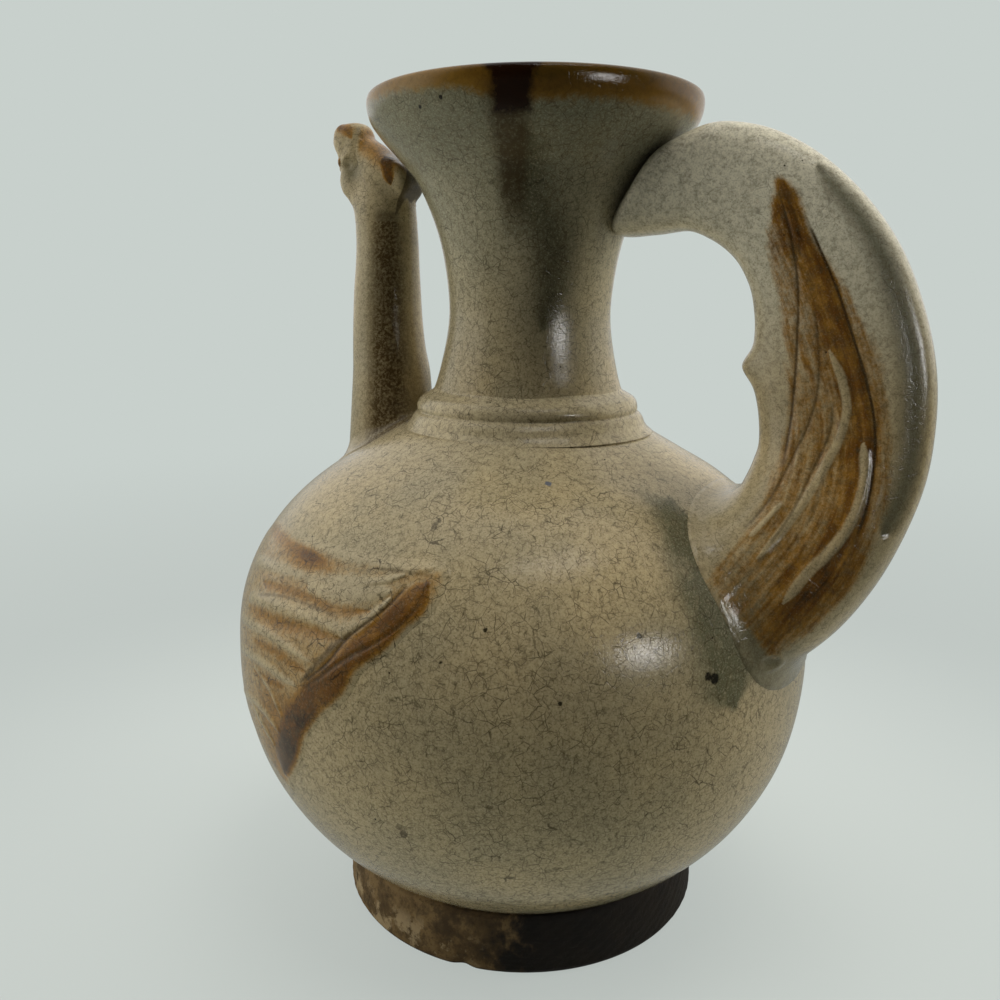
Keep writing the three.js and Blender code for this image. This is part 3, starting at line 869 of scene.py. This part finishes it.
def add_lamps(scene):
    """A window and a strip that show only as reflections, and three soft lamps that show in none. Each
    row holds azimuth, elevation, distance, width, height, power and colour."""
    for name, azimuth, elevation, distance, wide, high, power, colour in (
        ("Window light", 70, 9.5, 1.0, 0.24, 0.17, 1.5, (1.0, 1.0, 1.0)),
        ("Strip light", 49, 63, 1.0, 0.5, 0.04, 0.5, (1.0, 1.0, 1.0)),
        ("Overhead light", 85, 78, 1.1, 0.8, 0.5, 6.4, (1.0, 0.98, 0.94)),
        ("Left light", -48, 14, 1.3, 0.7, 0.9, 4.3, (1.0, 0.97, 0.92)),
        ("Right light", 122, 15, 1.3, 0.6, 0.9, 8.0, (1.0, 0.98, 0.94)),
    ):
        data = bpy.data.lights.new(name, "AREA")
        data.shape = "RECTANGLE"
        data.size = wide
        data.size_y = high
        data.energy = power
        data.color = colour
        lamp = bpy.data.objects.new(name, data)
        scene.collection.objects.link(lamp)
        lamp.visible_glossy = name in ("Window light", "Strip light")
        lamp.visible_diffuse = not lamp.visible_glossy
        a, e = math.radians(azimuth), math.radians(elevation)
        aim = Vector((math.sin(a) * math.cos(e), -math.cos(a) * math.cos(e), math.sin(e)))
        turn = aim.to_track_quat("Z", "Y").to_matrix().to_4x4()
        lamp.matrix_world = Matrix.Translation(Vector((AXIS, 0, 0.12)) + aim * distance) @ turn


def floor_finish(backdrop):
    """A pale floor that catches the ewer's shadow, seen partly as an even tone that fades into the
    backdrop far away, and darker in reflections on the dark side."""
    f, _, x, y, _ = begun("Pale floor")
    away = (x * x + y * y) ** 0.5
    front = (x * DARK_SIDE[0] + y * DARK_SIDE[1]).step(10.0, 170.0)
    dim = f.mix(front * away.step(110.0, 240.0), (226, 232, 228), (100, 103, 100))
    plain = f.shade(dim, 0.9, Specular_IOR_Level=0.1)
    camera, _, _, glossy = f.node("ShaderNodeLightPath", {})[:4]
    tone = f.mix(away.step(200.0, 900.0), (192, 199, 195), backdrop)
    mirrored = f.mix(front, (146, 148, 142), (52, 52, 48))
    glow = f.node("ShaderNodeEmission", {}, f.mix(glossy, tone, mirrored))[0]
    share = (camera * (away.step(90.0, 330.0) * 0.2 + 0.8) + glossy).limit()
    return f.done(f.node("ShaderNodeMixShader", {}, share, plain, glow)[0])


def lay_floor(scene, backdrop):
    """A disc 12 m wide, as rings of growing radius."""
    angle = np.linspace(0, 2 * np.pi, 96, endpoint=False)
    radius = np.array([0.0001, 0.1, 0.3, 0.8, 2.0, 6.0])[:, None]
    rings = np.stack([radius * np.cos(angle) + AXIS, radius * np.sin(angle), 0 * radius * angle], axis=2)
    mesh = bpy.data.meshes.new("floor")
    mesh.from_pydata(rings.reshape(-1, 3).tolist(), [], quads(*rings.shape[:2])[:, ::-1].tolist())
    mesh.materials.append(floor_finish(backdrop))
    floor = bpy.data.objects.new("floor", mesh)
    scene.collection.objects.link(floor)


class EWER_OT_foot(bpy.types.Operator):
    """Turns the bare clay foot ring: a ring's rounded outline carried round the axis, moved by slow waves
    and fine sines of angle and height, and chipped at the front"""

    bl_idname = "ewer.foot"
    bl_label = "Foot ring"

    def execute(self, context):
        outline = np.array([
            (43, 15.6), (43, 8), (43, 1.4), (43.6, 0.4), (44.8, 0), (48, 0), (51.2, 0), (52.4, 0.4),
            (53, 1.4), (53, 6), (52.7, 10), (52, 14.6), (51.2, 15.6), (43, 15.6),
        ], float)

        def wall(angle, z):
            fine = np.sin(31 * angle + 1.7 * z) * np.sin(2.9 * z - 11 * angle) + np.sin(67 * angle - 2.3 * z)
            chip = np.exp(-(((np.degrees(angle) - 279) / 2.6) ** 2)) * smooth(4.5, 0.5, z)
            return waves(angle, z, 0.25) * smooth(0, 3, z) + 0.05 * fine * smooth(0, 2, z) - 1.1 * chip

        grid = turned(even(outline, 130)[:-1], 480, wall)
        add_piece("foot_ring", grid, bare_clay("Bare clay"), ring=True, surface="clay")
        return {"FINISHED"}


class EWER_OT_body(bpy.types.Operator):
    """Throws the belly, the collar and the neck: outlines of radius over height carried round the axis,
    with slow waves in the wall"""

    bl_idname = "ewer.body"
    bl_label = "Belly, collar and neck"

    def execute(self, context):
        height = np.linspace(FOOT_TOP - 0.6, SHOULDER[1] - 0.4, 400)
        outer = np.stack([belly_radius(height), height], axis=1)
        outer[0, 0] = 50.8
        outer = even(outer, 190)
        height = np.linspace(FOOT_TOP + 7, SHOULDER[1] - 4, 60)[::-1]
        inner = np.stack([belly_radius(height) - BELLY_WALL, height], axis=1)
        neck = [(33, 141.4), (BORE, 141.2)]
        profile = np.vstack([[(0.4, FOOT_TOP)], outer, neck, even(inner, 42), [(0.4, FOOT_TOP + 6)]])
        grid = turned(profile, 400, thrown)
        # Where the tail's root meets the belly: painted shade.
        tail_root_shade = stroke(unrolled(grid), [(100, 127), (92, 116), (91, 107), (92.5, 95), (95, 82)], 16)
        glaze = body_glaze("Body glaze")
        add_piece("belly", grid, glaze, marks={"tail_root_shade": tail_root_shade})

        edge = through([
            (38.4, 140.2), (37.2, 141.3), (36, 142.8), (35.2, 144.4), (34.3, 145.7), (33.5, 146.35),
            (33.7, 147.2), (33.6, 148.6), (32.6, 150.2), (30.6, 151.5), (28.9, 152.6), (28.2, 153.4),
        ], 70)
        profile = np.vstack([edge, even(np.array([edge[-1], (BORE, 153.0), (BORE, 140.4)]), 12)[1:]])

        def uneven(angle, z):
            return 0.12 * np.sin(3 * angle + z) + 0.08 * np.sin(7 * angle)

        add_piece("collar", turned(profile, 360, uneven, lean=True), glaze, ring=True)

        outer = through([(29.6, 150.6)] + NECK_OUTLINE, 176)
        inner = through([
            outer[-1], (48, 239.95), (47, 239.6), (46.2, 238.4), (45.9, 236), (44.8, 232), (41.6, 227.4),
            (36.9, 221.6), (31.6, 215.6), (27.5, 207.6), (23.8, 197.6), (21.3, 186), (20.6, 174),
            (22.2, 162), (24.9, 152), (25.3, 150.6),
        ], 70)[1:]

        def wavy(angle, z):
            return waves(angle, z, 0.25) * smooth(152, 165, z)

        grid = turned(np.vstack([outer, inner]), 400, wavy, lean=True)
        turn = np.degrees(np.arctan2(grid[..., 1], grid[..., 0]))
        z = grid[..., 2]
        edge = np.interp(turn, *np.transpose([
            (-180, 235.5), (-132, 236.1), (-105, 235.5), (-85, 234.4), (-74, 231.9), (-61, 230.5),
            (-45, 231.5), (-12, 230.9), (20, 231.2), (70, 233), (120, 234.4), (180, 235.5),
        ]))
        aside = (turn + 67.5) * 0.87
        half = 4.8 + 3.2 * smooth(236, 241, z)
        patch = np.clip(0.5 + np.minimum(half - np.abs(aside), z - 228.2) / 4.5, 0, 1)
        streak = smooth(8.2, 2.6, np.abs(aside + 1.2)) * smooth(193, 214, z) * smooth(238, 232, z)
        # A dark band down the middle of the neck: painted shade and painted dark reflection.
        path = [(-32, 224), (-30, 208), (-24.5, 197), (-23.5, 185), (-26, 172)]
        neck_shade = stroke(np.stack([turn * 0.5, z], axis=2), path, 11, (0.3, 0.3))
        # Where the band is deepened: painted shade.
        deep = smooth(-98, -72, turn) * smooth(20, -30, turn)
        marks = {"band": z - edge, "patch": patch, "streak": streak, "deep": deep, "neck_shade": neck_shade}
        add_piece("neck_and_mouth", grid, neck_glaze("Neck glaze"), ring=True, marks=marks)
        return {"FINISHED"}


def tube_surface(low, high, rows, wall=0.0):
    """The spout's tube: circles carried up its measured stations, less a wall where one is given."""
    stations = np.array(TUBE)
    z = np.linspace(low, high, rows)
    reach, radius = hermite(stations[:, 0], stations[:, 1:], z).T
    return loft(np.stack([-reach, z], axis=1), 0 * z, radius - wall, radius - wall, 160)


class EWER_OT_spout(bpy.types.Operator):
    """Makes the spout: circles carried up a curve, spread where they meet the belly, open down its length"""

    bl_idname = "ewer.spout"
    bl_label = "Spout"

    def execute(self, context):
        outer = filleted(tube_surface(119, 206.2, 190), 4.5)
        grid = np.concatenate([outer, tube_surface(206, 119, 50, SPOUT_WALL)])
        turn = np.degrees(np.arctan2(grid[..., 1], grid[..., 0] + 49.5))
        # A band down each side of the spout: brown iron with painted shade.
        iron_and_shade_stripe = smooth(44, 12, np.abs(np.abs(turn) - 57))
        add_piece("spout_tube", grid, tube_glaze("Spout glaze"), ring=True, marks={"iron_and_shade_stripe": iron_and_shade_stripe})
        return {"FINISHED"}


class EWER_OT_head(bpy.types.Operator):
    """Models the bird's head: tilted rings carried from the tube to the beak and pressed in at the cheeks,
    a crest of squarer rings spread where it meets the head, and a ball for each eye"""

    bl_idname = "ewer.head"
    bl_label = "Head"

    def execute(self, context):
        glaze = painted_glaze("Head glaze", 0.4, 0.6, 0.6)
        rows = through(np.array(HEAD), 140)
        share = 0.35 * smooth(206, 214, rows[:, 1]) + 0.5 * smooth(224, 230, rows[:, 1])
        head = carried(rows, 160, 3.4, share)
        face = smooth(0.3, 0.8, np.abs(head[..., 1]) / rows[:, 4:5])
        side = head[..., ::2]
        press = 1.1 * bump(side, (-58.4, 221.4), 3.4) + 0.7 * bump(side, (-57.4, 215.5), 3.6)
        press = press + 0.6 * bump(side, (-61.2, 223.2), 1.6) - 0.5 * bump(side, (-62.6, 225.2), 1.6)
        head[..., 1] -= np.sign(head[..., 1]) * face * press
        rows = through(np.array([
            (68.4, 232.7, 82, 2.7, 2.9), (67.4, 232.4, 80, 2.6, 2.8), (62.6, 230.4, 62, 3.0, 3.0),
            (58.2, 221.5, 24, 5.6, 4.2), (52.4, 211.5, 8, 7.4, 6.4), (50, 202.6, 0, 7.6, 7.6),
        ]), 34)
        grid = np.concatenate([head, carried(rows, 160, 2.1)])
        add_piece("bird_head", grid, glaze, ring=True, marks=head_marks(grid))

        rows = through(np.array(CREST), 130)
        way = np.gradient(rows[:, :2], axis=0)
        tilt = np.degrees(np.arctan2(-way[:, 0], -way[:, 1]))
        share = 0.35 + 0.65 * smooth(227, 219, rows[:, 1])
        grid = carried(np.insert(rows, 2, tilt, axis=1), 140, 5.0, share)
        grid = blended(grid, head[:, ::2], 1.8)
        add_piece("crest", grid, glaze, marks=head_marks(grid))

        for side, flank in ((-1, "left"), (1, "right")):
            lat = np.linspace(0.02, np.pi - 0.02, 30)
            z = 224.6 + 2.4 * np.cos(lat)
            ring = np.sin(lat)
            grid = loft(np.stack([0 * z - 64.6, z], axis=1), 0 * z, 1.7 * ring, 2.0 * ring, 44)
            grid[..., 1] += side * 3.6
            iron = 0.55 + 0.5 * bump(grid[..., ::2], (-65.5, 223.6), 1.6)
            add_piece(f"eye_{flank}", grid, glaze, marks={"iron": iron})
        return {"FINISHED"}


def head_marks(grid):
    """Where the head is painted: iron over the beak, the crest's ridge and in a drop behind, cool glaze in
    the cheek, dark in the eye's hollow, painted shade on the crest's underside, and brown iron with painted
    shade in the band that rises from the spout."""
    side = grid[..., ::2]
    half = np.abs(grid) * (-1, 1, 1)
    x, y, z = np.moveaxis(half, 2, 0)
    iron = 0.34 * smooth(229, 234, z) * smooth(-56, -60, x)
    iron = iron + 0.75 * stroke(side, [(-66.5, 236.2), (-62.5, 235), (-59.8, 231.8)], 2.7, (0.1, 0.3))
    iron = iron + 0.4 * bump(half, (-66.6, 4, 225), 2.4)
    ridge = line_to(side, [(-57.5, 234), (-50, 228), (-41, 219)])[0]
    iron = np.maximum(iron, 0.75 * smooth(9, 1.5, np.abs(ridge)) * smooth(214, 226, z) * smooth(-59, -56, x))
    drop = 2.1 * stroke(side, [(-46.6, 225.0), (-45.0, 221.2), (-43.8, 216.2)], 3.2, (0.12, 0.3))
    drop = drop + 0.75 * bump(side, (-42.2, 222.6), 1.5)
    iron = np.maximum(iron, np.minimum(drop, 1.38) * smooth(1.5, 3.5, y))
    cool = 0.8 * bump(side, (-59.2, 220.5), 4.6) * smooth(2, 4, y)
    turn = np.degrees(np.arctan2(y, x + 50))
    # The crest's underside, which lies in shade: painted shade.
    shaded_facet = within(np.stack([turn, z], axis=2), [
        (43, 205), (37, 209.4), (33, 212.5), (29, 216), (22, 219.5), (-5, 220.5), (-5, 212.8), (16, 211.6),
    ])
    # The spout's band carried up: brown iron with painted shade.
    iron_and_shade_stripe = 0.55 * smooth(44, 12, np.abs(turn - 57)) * smooth(211, 206, z)
    dark = np.maximum(0.4 * bump(half, (-61.2, 6, 222.8), 1.5), 0.85 * smooth(-1.2, 1.2, shaded_facet))
    return {"iron": iron, "cool": cool, "dark": np.maximum(dark, iron_and_shade_stripe)}


class EWER_OT_wings(bpy.types.Operator):
    """Lays a wing in relief on each flank: a sheet ruled between a lower and an upper edge drawn on the
    belly, raised over it by feather ridges and cut by grooves and lines, closed by a sheet inside"""

    bl_idname = "ewer.wings"
    bl_label = "Wings"

    def execute(self, context):
        glaze = painted_glaze("Wing glaze", 0.52, 0.85)
        lower = through(WING_LOWER, 400)
        upper = through(WING_UPPER, 400)
        t = np.linspace(0, 1, 330)
        share = 0.5 * t + 0.25 * (1 - np.cos(np.pi * t))
        along = lower[0, 0] + (lower[-1, 0] - lower[0, 0]) * share
        low = np.interp(along, lower[:, 0], lower[:, 1])
        high = np.interp(along, upper[:, 0], upper[:, 1])
        face, back = WING_COLUMNS
        up = np.concatenate([np.linspace(0, 1, face), np.linspace(0.98, 0.02, back)])
        height = low[:, None] + (high - low)[:, None] * up
        spots = np.stack(np.broadcast_arrays(along[:, None], height), axis=2)
        shift = np.concatenate([np.zeros(face), np.full(back, -WING_DEPTH)])

        inside = within(spots, WING_LOWER + WING_UPPER[-2:0:-1])
        painted = within(spots, WING_PAINT)
        fore = smooth(-78, -30, spots[..., 0])
        ridge = strokes(spots, WING_RIDGES, (0.06, 0.2))
        groove = strokes(spots, WING_GROOVES, (0.1, 0.15))
        band = stroke(spots, WING_BAND, 8.0, (0.1, 0.08))
        rim = stroke(spots, [(-39, 115.6), (-24, 115.5), (-8, 116), (4.5, 115.6), (14, 116.2)], 2.2)
        across, near = lines(spots, WING_LINES)
        cut = smooth(1.1, 0.2, np.abs(across)) * near
        relief = 0.25 + 0.2 * fore + (0.14 + 0.22 * fore) * ridge - (0.08 + 0.16 * fore) * groove
        relief = relief + 0.4 * band + 0.3 * rim - 0.22 * cut
        relief = relief * smooth(0.3, 3.6, inside) - 0.3 * smooth(1.2, 0, inside)

        cover = np.clip(0.5 + painted / 2.4, 0, 1)
        below = smooth(-48, -30, spots[..., 0]) * smooth(84, 74, spots[..., 1])
        iron = 0.34 + 0.1 * fore - 0.32 * ridge + 0.24 * groove + 0.26 * below + 0.64 * smooth(0, 0.7, band)
        iron = cover * (iron - 0.16 * bump(spots / (14, 5), (-0.6, 22), 1))
        iron = iron + 0.5 * bump(spots / (11, 2.6), (-2.9, 43.4), 1)
        dark = 0.62 * stroke(spots, [(-5.5, 100.6), (-10.3, 96.3), (-16, 90.5), (-21, 85)], 2.4, (0.2, 0.5))
        pale = np.clip(ridge * 0.8 + rim * 0.5, 0, 1)
        marks = {"iron": iron, "pale": pale, "dark": dark, "across": across, "near": near}
        for side, flank in ((-1, "left"), (1, "right")):
            turn = spots[..., 0] / BELLY_RADIUS
            angle = np.arctan2(-np.cos(turn), np.sin(turn)) * -side
            radius = belly_radius(height) + thrown(angle, height) + relief * (shift == 0) + shift
            grid = np.stack([radius * np.sin(turn), side * radius * np.cos(turn), height], axis=2)
            add_piece(f"wing_{flank}", grid, glaze, marks=marks)
        return {"FINISHED"}


class EWER_OT_tail(bpy.types.Operator):
    """Arches the tail up to the neck as the handle: squarish rings carried between its inner and outer
    edges, spread where they meet the belly, with feather lines cut and streaks laid on both faces"""

    bl_idname = "ewer.tail"
    bl_label = "Tail handle"

    def execute(self, context):
        rows = through(np.array([(29.6, 200.0, 43.2, 221.6, 8.5)] + TAIL), 420)
        inner = rows[:, 0:2]
        outer = rows[:, 2:4]
        across = outer - inner
        tilt = np.arctan2(across[:, 1], across[:, 0])
        grid = loft((inner + outer) / 2, tilt, np.linalg.norm(across, axis=1) / 2, rows[:, 4], 210, 2.8)
        grid = filleted(grid, 5.0)
        spots = grid[..., ::2]
        face = smooth(0.45, 0.78, np.abs(grid[..., 1]) / rows[:, 4:5])

        fan = within(spots, FAN)
        cream = strokes(spots, TAIL_STREAKS, (0.1, 0.1))
        # The outer groove; its darker grey is glaze pooled in it, with painted shade and painted dark
        # reflection where the edge turns from the light.
        channel = stroke(spots, TAIL_CHANNEL, 6.0, (0.08, 0.05))
        flow, along = line_to(spots, TAIL_FLOW)
        away, near = lines(spots, TAIL_LINES)
        cut = smooth(1.1, 0.2, np.abs(away)) * near
        swirl = np.linalg.norm(spots - (82.6, 90.4), axis=2)
        curl = smooth(1.2, 0.2, np.abs(swirl - 2.3))
        stripes = np.sin(flow * 1.9 + 2 * np.sin(along * 9)) + 0.6 * np.sin(flow * 3.1 + 1.4)
        relief = 0.35 * smooth(-1, 4, fan) + 0.45 * cream - 0.35 * cut - 0.6 * channel + 0.5 * curl
        relief = relief + 0.09 * stripes * smooth(0, 3, fan)
        grid = grid + normals(grid) * (relief * face)[..., None]
        spur = 3.2 * np.exp(-(((spots[..., 1] - 162.3) / 4.2) ** 2)) * smooth(76, 71, spots[..., 0])
        grid[..., 0] -= spur

        right = smooth(11, 1, np.abs(flow)) * smooth(2, -2, flow)
        iron = 0.26 + 0.24 * smooth(15, 4, flow) + 0.42 * right + 0.16 * smooth(128, 108, spots[..., 1])
        iron = iron * (1 - 0.35 * smooth(150, 195, spots[..., 1]) * smooth(1, 5, flow))
        soft = 2.4 + 11 * smooth(5, 15, flow)
        iron = np.clip(0.5 + (fan - 0.25 * (soft - 2.4)) / soft, 0, 1) * iron * face
        iron = iron * (0.65 + 0.35 * smooth(3, 13, clearance(grid)))
        # Darker grey where the tail meets the belly: painted shade.
        low = smooth(124, 102, spots[..., 1]) * smooth(66, 78, spots[..., 0])
        root = 0.75 * smooth(9, 2, clearance(grid)) * low
        marks = {
            "iron": iron, "cream": cream * face, "cool": np.maximum(channel * face, root),
            "across": away, "near": near * face, "flow": flow * face, "along": along * 240,
        }
        # The slab paler towards its top: partly a paler glaze, partly painted light.
        glaze = painted_glaze("Tail glaze", 0.62, 0.35, upper=(224, 218, 194))
        add_piece("tail_handle", grid, glaze, marks=marks)
        return {"FINISHED"}


class EWER_PT_panel(bpy.types.Panel):
    """Lists the ewer's operators and settings"""

    bl_idname = "EWER_PT_panel"
    bl_label = "Bird ewer"
    bl_space_type = "VIEW_3D"
    bl_region_type = "UI"
    bl_category = "Ewer"

    def draw(self, context):
        for key in ("camera_lens", "backdrop"):
            self.layout.prop(context.scene.ewer, key)
        for operator in OPERATORS:
            self.layout.operator(operator.bl_idname)


OPERATORS = (
    EWER_OT_stage, EWER_OT_foot, EWER_OT_body, EWER_OT_spout, EWER_OT_head, EWER_OT_wings, EWER_OT_tail,
)
CLASSES = (EwerSettings, *OPERATORS, EWER_PT_panel)


def register():
    for cls in CLASSES:
        bpy.utils.register_class(cls)
    bpy.types.Scene.ewer = bpy.props.PointerProperty(type=EwerSettings)


def unregister():
    del bpy.types.Scene.ewer
    for cls in reversed(CLASSES):
        bpy.utils.unregister_class(cls)


def main():
    register()
    for operator in OPERATORS:
        getattr(bpy.ops.ewer, operator.bl_idname.split(".")[1])()
    bpy.context.view_layer.update()


if __name__ == "__main__":
    main()
